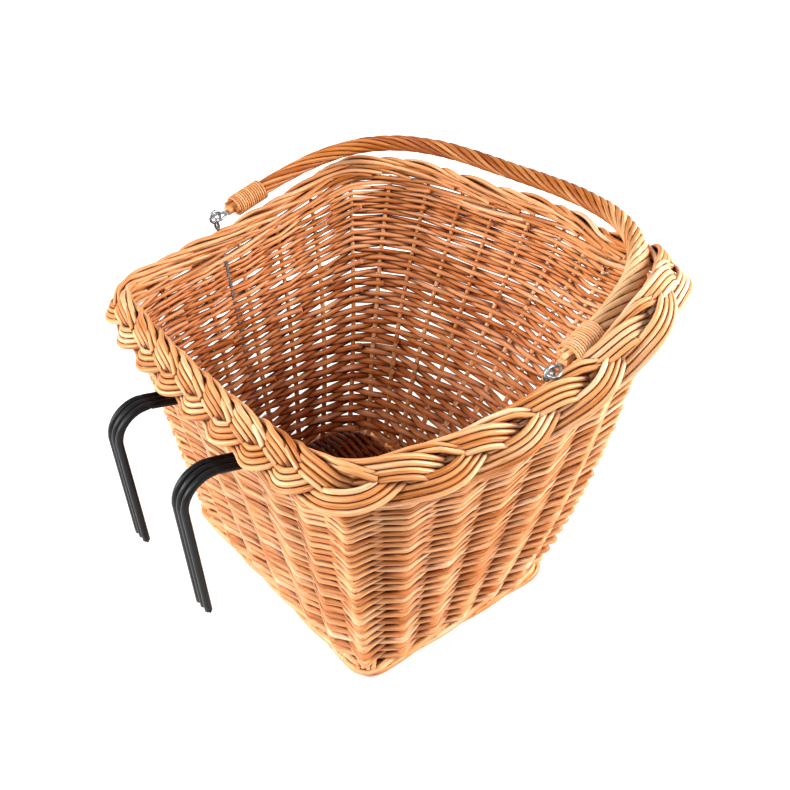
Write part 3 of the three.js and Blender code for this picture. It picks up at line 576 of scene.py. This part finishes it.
# Border: the stakes' upper ends, bent over and plaited in three strands of four rods. A strand
# shows from each edge to the middle, and long tails lie along the inner edge of the rim.
border_chance = np.random.default_rng(47)
PLAIT_PERIODS, PLAIT_HOOK_SHARE, PLAIT_POINTS = 8, 1 / 3, 240
PLAIT_FORWARD = (-121, -90, 20, 130, 241)
RIGHT_LEANS, LEFT_LEANS = (58, 58, 50, 40, 50), (58, 62, 64, 56, 50)
RIGHT_WIDTHS, LEFT_WIDTHS = (1.0, 1.0, 1.0, 1.0, 0.8), (1.0, 0.85, 0.8, 0.75, 0.8)
RIGHT_INWARD, LEFT_INWARD = (0, 0, 0, 1, 2), (0, 0, 0, 0, 0)
PLAIT_CENTRE, PLAIT_ACROSS, PLAIT_DEPTH, PLAIT_FLAT = 16.5, 10.6, 5.2, 0.1
BORDER_ROD_RADIUS, BORDER_ROD_PITCH, STRAND_RODS = 2.2, 4.5, 4
TAIL_POINTS, TAIL_SHORTEST, TAIL_LONGEST = 16, (110, 90), (150, 130)
TAIL_INSIDE, TAIL_OUT, TAIL_APART, TAIL_UNDER = 3.5, 2.5, 4.2, 2.5
TAIL_DROP, TAIL_RISE, TUCK_OUT, TUCK_DOWN = 15, 2.2, 28, 54


def plait_on_rim(share):
    """Where the plait has got to on the rim: it lies closer on the hook wall than elsewhere."""
    half = PLAIT_HOOK_SHARE / 2
    return np.interp(share, [0, half, 1 - half, 1], [0, rim_corners[1], 1 + rim_corners[0], 1])


share = np.arange(0, 1, 1 / PLAIT_POINTS)
on_rim = plait_on_rim(share)
outs = rim_out(on_rim)
sideways, forward = rim_at(on_rim)[:, :2].T


def by_side(right, left):
    """Values down the right and the left side of the basket, at the plait's own points."""
    right = np.interp(forward, PLAIT_FORWARD, right)
    return np.where(sideways > 0, right, np.interp(forward, PLAIT_FORWARD, left))


lean = np.radians(by_side(RIGHT_LEANS, LEFT_LEANS))[:, None]
width = by_side(RIGHT_WIDTHS, LEFT_WIDTHS)
inward = by_side(RIGHT_INWARD, LEFT_INWARD)
depth = PLAIT_DEPTH * width ** 2
across = outs * np.cos(lean) - np.sin(lean) * np.array((0, 0, 1))
face = outs * np.sin(lean) + np.cos(lean) * np.array((0, 0, 1))
border_paths = []
for strand in range(3):
    phase = 2 * math.pi * (PLAIT_PERIODS * share + strand / 3)
    swing = np.sin(phase) + PLAIT_FLAT * np.sin(3 * phase)
    sway = width * (PLAIT_CENTRE + PLAIT_ACROSS * swing) - inward
    line = rim_at(on_rim) + across * sway[:, None] - face * (depth * np.sin(2 * phase))[:, None]
    ahead = np.roll(line, -1, 0) - np.roll(line, 1, 0)
    beside = np.cross(face, ahead)
    beside /= np.linalg.norm(beside, axis=1)[:, None]
    for k in range(STRAND_RODS):
        shift = (k - (STRAND_RODS - 1) / 2) * BORDER_ROD_PITCH * width[:, None]
        girth = border_chance.uniform(0.92, 1.06) * (0.4 + 0.6 * width)
        border_paths.append((line + beside * shift, girth, border_chance.random(), True))
along = np.linspace(0, 1, TAIL_POINTS)
for bundle in range(3 * PLAIT_PERIODS):
    end = plait_on_rim(np.array((bundle + 0.35) / (3 * PLAIT_PERIODS)))
    for k, length in enumerate(border_chance.uniform(TAIL_SHORTEST, TAIL_LONGEST)):
        at = end - (1 - along) * length / rim_runs[-1]
        out = (TAIL_OUT + TAIL_APART * k) * along - TAIL_INSIDE + TUCK_OUT * np.maximum(0, along - 0.75)
        rise = TAIL_RISE - TAIL_UNDER * k - TAIL_DROP * (1 - along) ** 1.3
        rise -= TUCK_DOWN * np.maximum(0, along - 0.85)
        line = rim_at(at) + rim_out(at) * out[:, None] + rise[:, None] * np.array((0, 0, 1))
        girth = np.linspace(0.8, 1.02, TAIL_POINTS) * border_chance.uniform(0.92, 1.05)
        border_paths.append((line, girth, border_chance.random(), False))
border = rods(
    "plaited_border", border_paths, BORDER_ROD_RADIUS, honey_willow, steps=2, wobble=0.7, wobble_length=45)
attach(border, "basket")
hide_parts("border_strand_1", "border_strand_2", "border_strand_3")


# Hooks: two handlebar hooks, each of three steel rods side by side in a black plastic coat. They
# come out of the wall under the border, bend over and hang down, with rounded free ends.
def coated_steel(name):
    """Steel in a black plastic coat with a fine peel, a little duller where it is scuffed."""
    finish = bpy.data.materials.new(name)
    finish.use_nodes = True
    coat = Tone(finish.node_tree)
    place = coat.node("ShaderNodeTexCoord", {}, {}, "Object")
    peel = coat.node("ShaderNodeTexNoise", {}, {"Vector": place, "Scale": 900.0, "Detail": 2.0}, "Fac")
    scuff = coat.node("ShaderNodeTexNoise", {}, {"Vector": place, "Scale": 60.0, "Detail": 4.0}, "Fac")
    blacks = [(0.3, colour("0a0a0b")), (0.75, colour("151516"))]
    tint = coat.node("ShaderNodeValToRGB", {"stops": blacks}, {"Fac": scuff}, "Color")
    bump = coat.node("ShaderNodeBump", {}, {
        "Strength": 0.25, "Distance": 0.0002, "Height": peel}, "Normal")
    shader = finish.node_tree.nodes["Principled BSDF"]
    finish.node_tree.links.new(tint.socket, shader.inputs["Base Color"])
    finish.node_tree.links.new((scuff * 0.3 + 0.2).socket, shader.inputs["Roughness"])
    finish.node_tree.links.new(bump.socket, shader.inputs["Normal"])
    shader.inputs["Specular IOR Level"].default_value = 0.15
    return finish


HOOK_PLACE, HOOK_ROD_RADIUS, HOOK_ROD_PITCH = 49, 3.0, 6.3
HOOK_LEG, HOOK_END, HOOK_ARCH, HOOK_RISE = -180, 87, 24, math.radians(20)
HOOK_ANCHOR, HOOK_ANCHOR_END = 9, 140
HOOK_TIP = ((2, 0.97), (1, 0.82), (0.3, 0.5), (0, 0.05))
hook_wall = wall_line(0, 0.5 + HOOK_PLACE / (2 * HOOK_WALL_HALF))
wall_at = np.interp(HOOK_LEVEL, [hook_wall[0][2], hook_wall[1][2]], [hook_wall[0][1], hook_wall[1][1]])
peak = np.array((HOOK_LEG, HOOK_LEVEL + (wall_at - HOOK_LEG) * math.tan(HOOK_RISE)))
hook_route = [
    (wall_at + HOOK_ANCHOR, HOOK_ANCHOR_END), (wall_at + HOOK_ANCHOR, HOOK_LEVEL - 12),
    (wall_at + 3, HOOK_LEVEL - 1)]
run = HOOK_ARCH * math.tan((math.pi / 2 - HOOK_RISE) / 2 + HOOK_RISE)
centre = np.array((HOOK_LEG + HOOK_ARCH, peak[1] - run))
for angle in np.linspace(math.pi / 2 - HOOK_RISE, math.pi, 14):
    hook_route.append(tuple(centre + HOOK_ARCH * np.array((math.cos(angle), math.sin(angle)))))
hook_route += [(HOOK_LEG, z) for z in np.linspace(centre[1] - 20, HOOK_END + 3, 5)]
hook_girth = np.array([1.0] * len(hook_route) + [girth for above, girth in HOOK_TIP])
hook_route += [(HOOK_LEG, HOOK_END + above) for above, girth in HOOK_TIP]
black_coat = coated_steel("black coated steel")
for side, name in ((-1, "left"), (1, "right")):
    hook_paths = [
        ([(side * HOOK_PLACE + k * HOOK_ROD_PITCH, y, z) for y, z in hook_route], hook_girth, 0.5, False)
        for k in (-1, 0, 1)]
    hook = rods(f"hook_{name}", hook_paths, HOOK_ROD_RADIUS, black_coat, sides=16, steps=3)
    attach(hook, "basket")
    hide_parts(*[f"hook_{name}_rod_{k}" for k in (1, 2, 3)])


# Rim eyes: a bright zinc wire bent to an eye on each side of the rim. Its two legs twist round
# each other through the border and run down the inside of the wall along a stake.
def zinc_wire(name):
    """Bright zinc on wire, a little duller in patches."""
    finish = bpy.data.materials.new(name)
    finish.use_nodes = True
    zinc = Tone(finish.node_tree)
    place = zinc.node("ShaderNodeTexCoord", {}, {}, "Object")
    bloom = zinc.node("ShaderNodeTexNoise", {}, {"Vector": place, "Scale": 420.0, "Detail": 3.0}, "Fac")
    greys = [(0.3, colour("6f7276")), (0.7, colour("a9acae"))]
    tint = zinc.node("ShaderNodeValToRGB", {"stops": greys}, {"Fac": bloom}, "Color")
    shader = finish.node_tree.nodes["Principled BSDF"]
    finish.node_tree.links.new(tint.socket, shader.inputs["Base Color"])
    finish.node_tree.links.new((bloom * 0.3 + 0.22).socket, shader.inputs["Roughness"])
    shader.inputs["Metallic"].default_value = 1.0
    return finish


WIRE_RADIUS, EYE_RADIUS, EYE_PLAY = 1.35, 5.2, 0.35
SHANK_HIGH, SHANK_LOW, SHANK_IN, SHANK_TURNS, SHANK_APART = 206, 52, 1.2, 11, 0.6
SWING_AT = np.array((0, 24.4, 259.0))
SWING_SKEW, HANDLE_REST = math.radians(8.3), math.radians(7.2)
HANDLE_HALF = 179.4
swing_axis = np.array((math.cos(SWING_SKEW), math.sin(SWING_SKEW), 0))
swing_ahead = np.array((-math.sin(SWING_SKEW), math.cos(SWING_SKEW), 0))
bright_zinc = zinc_wire("bright zinc")


def on_wall(line, level, outward):
    """A place on a wall's line at a level, moved outward along X."""
    low, high = line
    return low + (high - low) * (level - low[2]) / (high[2] - low[2]) + np.array((outward, 0, 0))


for side, name in ((-1, "left"), (1, "right")):
    eye_rise = EYE_RADIUS - 2 * WIRE_RADIUS - EYE_PLAY
    eye_centre = SWING_AT + swing_axis * side * HANDLE_HALF + (0, 0, eye_rise)
    wall = 3 if side < 0 else 1
    lines = [wall_line(wall, s) for s in np.linspace(0.1, 0.9, 81)]
    beside = min(lines, key=lambda line: abs(line[1][1] - eye_centre[1]))
    legs = []
    for leg in (-1, 1):
        ring = []
        for a in np.linspace(math.pi, 0.28, 12):
            ahead = swing_ahead * leg * EYE_RADIUS * math.sin(a)
            ring.append(eye_centre + ahead - np.array((0, 0, EYE_RADIUS * math.cos(a))))
        shank = [ring[-1], on_wall(beside, STAKE_HEAD, 2 * side) + (0, 0, 25)]
        shank += [on_wall(beside, level, -SHANK_IN * side) for level in (SHANK_HIGH, SHANK_LOW)]
        shank = evenly(shank, 4)[1:]
        twist = np.linspace(0, 1, len(shank)) * 2 * math.pi * SHANK_TURNS + (0 if leg > 0 else math.pi)
        shank = shank + np.stack([0 * twist, np.cos(twist), 0 * twist], 1) * WIRE_RADIUS * SHANK_APART
        legs.append(([*ring, *shank], 1.0 if leg > 0 else 0.98, 0.5, False))
    eye = rods(f"rim_eye_wire_{name}", legs, WIRE_RADIUS, bright_zinc, sides=10, steps=3)
    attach(eye, "basket")
    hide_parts(f"rim_eye_{name}")


# Handle: a stout core rod bent to an arch, with willow rods roped round it. The rods lie long at
# the left end and close in to a steep twist at the right shoulder.
handle_chance = np.random.default_rng(61)
HANDLE_REACH, HANDLE_SQUARENESS, CORE_RADIUS = 189.5, 3.47, 4.3
ROPING_RODS, ROPING_ROD_RADIUS, ROPING_REACH = 8, 2.7, 6.8
# Painted light and shade on the roping: darker over the top of the arch and paler towards the right end,
# as the light falls on the handle.
ROPING_PAINTED_LIGHT = (0.02, -0.08, -0.16, -0.14, 0.2, 0.36)
CORE_SHORT, ROPING_SHORT, ROPING_POINTS = 14, 16, 150
LAY_SHARES, LAYS = (0, 0.25, 0.55, 0.72, 0.84, 1), (210, 130, 88, 68, 110, 220)
DRAW_SHARES = (0, 0.2, 0.5, 0.7, 0.85, 0.93, 1)
DRAWS = (0.75, 0.75, 0.77, 0.84, 1.0, 0.94, 0.9)


def swung(points):
    """Points of the handle, laid down as it rests: x along the swing axis, y the way it lies."""
    points = np.asarray(points, float)
    up = np.array((0, 0, 1))
    lie = swing_ahead * math.cos(HANDLE_REST) + up * math.sin(HANDLE_REST)
    lift = up * math.cos(HANDLE_REST) - swing_ahead * math.sin(HANDLE_REST)
    return SWING_AT + points[:, :1] * swing_axis + points[:, 1:2] * lie + points[:, 2:3] * lift


angle = np.linspace(math.pi, 0, 4001)
power = 2 / HANDLE_SQUARENESS
arch = np.stack([
    HANDLE_HALF * np.sign(np.cos(angle)) * np.abs(np.cos(angle)) ** power,
    HANDLE_REACH * np.abs(np.sin(angle)) ** power, 0 * angle], 1)
arch_runs = runs(arch)
ARCH_LENGTH = arch_runs[-1]


def arch_at(way):
    """The handle's middle line, at a way along it from its left end."""
    return np.stack([np.interp(way, arch_runs, arch[:, i]) for i in range(3)], 1)


core_line = swung(arch_at(np.linspace(CORE_SHORT, ARCH_LENGTH - CORE_SHORT, 60)))
core = rods("handle_core_rod", [(core_line, 1.0, 0.4, False)], CORE_RADIUS, honey_willow, sides=14)
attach(core, "handle")
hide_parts("handle_core")
way = np.linspace(ROPING_SHORT, ARCH_LENGTH - ROPING_SHORT, ROPING_POINTS)
lay = np.interp(way / ARCH_LENGTH, LAY_SHARES, LAYS)
turn = np.concatenate([[0], np.cumsum(2 * math.pi * np.diff(way) / lay[1:])])
draw = np.interp(way / ARCH_LENGTH, DRAW_SHARES, DRAWS)
roping_paths = []
for path in around_line(arch_at(way), ROPING_RODS, ROPING_REACH * draw, -turn):
    cut = handle_chance.integers(0, 3, 2)
    path = path[cut[0]:len(path) - cut[1]]
    girth = (handle_chance.uniform(0.93, 1.05) * draw)[cut[0]:len(draw) - cut[1]]
    roping_paths.append((swung(path), girth, handle_chance.random(), False))
roping = rods(
    "handle_roping_rods", roping_paths, ROPING_ROD_RADIUS, shaded_roped_willow, steps=2, wobble=0.25,
    pale=ROPING_PAINTED_LIGHT)
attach(roping, "handle")
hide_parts("handle_roping")


# Whippings: a thin willow skein wound round each end of the handle, turn against turn, with its
# end tucked under. It binds the roping to the core.
WHIPPING_START, WHIPPING_TURNS, WHIPPING_PITCH = 22, 14, 2.3
SKEIN_RADIUS, SKEIN_POINTS = 1.12, 16
for side, name, end_draw in ((-1, "left", 0.76), (1, "right", 0.92)):
    reach = (ROPING_REACH + ROPING_ROD_RADIUS) * end_draw + SKEIN_RADIUS
    turns = np.linspace(0, WHIPPING_TURNS, WHIPPING_TURNS * SKEIN_POINTS + 1)
    run = WHIPPING_START + turns * WHIPPING_PITCH
    line = arch_at(run if side < 0 else ARCH_LENGTH - run)
    wound = around_line(line, 1, reach, 2 * math.pi * turns)[0]
    skein = rods(
        f"whipping_skein_{name}", [(swung(wound), 1.0, 0.35, False)], SKEIN_RADIUS, honey_willow,
        sides=8, steps=2, wobble=0.25, wobble_length=20)
    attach(skein, "handle")
    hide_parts(f"whipping_{name}")


# Links: a zinc wire bent to a loop at each end of the handle. Its shank sits in the core, and its
# bar lies in the rim eye, so that the handle swings on it.
LINK_BENDS = [
    (0, 29), (0, 14), (1, 11.5), (4.6, 6.5), (5.2, 3), (4.4, 0.7), (2.4, 0),
    (-2.4, 0), (-4.4, 0.7), (-5.2, 3), (-4.9, 6), (-2.6, 10.5), (-1.4, 13)]
for side, name in ((-1, "left"), (1, "right")):
    line = swung([(side * (HANDLE_HALF + x), y, 0) for x, y in LINK_BENDS])
    link = rods(f"handle_link_wire_{name}", [(line, 1.0, 0.5, False)], WIRE_RADIUS, bright_zinc, steps=5)
    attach(link, "handle")
    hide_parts(f"handle_link_{name}")


# Floor and light: a white table in a white room, under three soft lamps. The table is dark under
# the base and keeps the basket's shadow, and the room is white only to the eye and in reflections.
# The camera looks down from above the near corner of the hook wall.
def white_where_seen(tree):
    """One for what the camera and mirrors see, and nought for the light that falls on the basket."""
    stage = Tone(tree)
    seen = stage.node("ShaderNodeLightPath", {}, {}, "Is Camera Ray")
    clear = seen.also("Is Glossy Ray") + seen.also("Is Transmission Ray")
    return stage.node("ShaderNodeClamp", {}, {"Value": seen + clear})


floor_mesh = bpy.data.meshes.new("table")
floor_mesh.from_pydata([(-6, -6, 0), (6, -6, 0), (6, 6, 0), (-6, 6, 0)], [], [(0, 1, 2, 3)])
table = bpy.data.objects.new("table", floor_mesh)
bpy.context.scene.collection.objects.link(table)
table_finish = bpy.data.materials.new("white table")
table_finish.use_nodes = True
table_tree = table_finish.node_tree
table_shader = table_tree.nodes["Principled BSDF"]
table_shader.inputs["Base Color"].default_value = (0.75, 0.75, 0.75, 1)
table_shader.inputs["Roughness"].default_value = 0.9
table_shader.inputs["Specular IOR Level"].default_value = 0.0
seen = white_where_seen(table_tree)
place = seen.node("ShaderNodeTexCoord", {}, {}, "Object")
across = seen.node("ShaderNodeSeparateXYZ", {}, {"Vector": place}, "X")
far_x = seen.node("ShaderNodeMath", {"operation": "ABSOLUTE"}, {"Value": across}) - BASE_BACK / 1000
far_y = seen.node("ShaderNodeMath", {"operation": "ABSOLUTE"}, {
    "Value": across.also("Y") + BASE_BEHIND / 1000}) - BASE_DEPTH / 1000
clear_of_base = seen.node("ShaderNodeMapRange", {}, {
    "Value": seen.math("MAXIMUM", far_x, far_y), "From Min": -0.004, "From Max": 0.008})
seen = seen * clear_of_base
away = seen.node("ShaderNodeVectorMath", {"operation": "LENGTH"}, {"Vector": place}, "Value")
far = seen.node("ShaderNodeMapRange", {}, {"Value": away, "From Min": 0.22, "From Max": 0.55})
level = seen.node("ShaderNodeMix", {"data_type": "RGBA"}, {
    "Factor_Float": far, "A_Color": (0.3, 0.3, 0.3, 1), "B_Color": (1, 1, 1, 1)})
glow = seen.node("ShaderNodeMix", {"data_type": "RGBA"}, {
    "Factor_Float": seen, "A_Color": (0, 0, 0, 1), "B_Color": level})
table_tree.links.new(glow.socket, table_shader.inputs["Emission Color"])
table_shader.inputs["Emission Strength"].default_value = 1.0
floor_mesh.materials.append(table_finish)

sky = bpy.data.worlds.new("white room")
sky.use_nodes = True
bpy.context.scene.world = sky
sky_shader = sky.node_tree.nodes["Background"]
sky_seen = white_where_seen(sky.node_tree)
sky_strength = sky_seen * 0.88 + 0.12
sky.node_tree.links.new(sky_strength.socket, sky_shader.inputs["Strength"])
sky_shader.inputs["Color"].default_value = (1, 1, 1, 1)

LAMPS_AIM = (0, 0, 0.12)
LAMPS = (
    ("key", (-0.7, -1.5, 0.85), 0.7, 41),
    ("right fill", (0.7, 0.85, 0.62), 0.5, 33),
    ("front fill", (0.3, -1.1, 1.2), 0.9, 18))
for name, place, width, power in LAMPS:
    lamp = bpy.data.lights.new(name, "AREA")
    lamp.size = width
    lamp.energy = power
    lamp_object = bpy.data.objects.new(name, lamp)
    bpy.context.scene.collection.objects.link(lamp_object)
    away = Vector(place) - Vector(LAMPS_AIM)
    lamp_object.location = place
    lamp_object.rotation_euler = away.to_track_quat("Z", "Y").to_euler()

camera = bpy.data.cameras.new("camera")
SENSOR_WIDTH, PICTURE_WIDTH, FOCAL_LENGTH = 36, 790, 1078.784
camera.sensor_width = SENSOR_WIDTH
camera.lens = FOCAL_LENGTH / PICTURE_WIDTH * SENSOR_WIDTH
camera_object = bpy.data.objects.new("camera", camera)
bpy.context.scene.collection.objects.link(camera_object)
CAMERA_RIGHT, CAMERA_UP = (0.62425, 0.77922, -0.05588), (-0.45595, 0.42149, 0.78387)
CAMERA_BACK, CAMERA_PLACE = (0.63436, -0.46385, 0.61840), (0.58574, -0.42349, 0.71104)
camera_rows = [*zip(CAMERA_RIGHT, CAMERA_UP, CAMERA_BACK, CAMERA_PLACE), (0, 0, 0, 1)]
camera_object.matrix_world = Matrix(camera_rows)
bpy.context.scene.camera = camera_object
bpy.context.scene.view_settings.view_transform = "Standard"
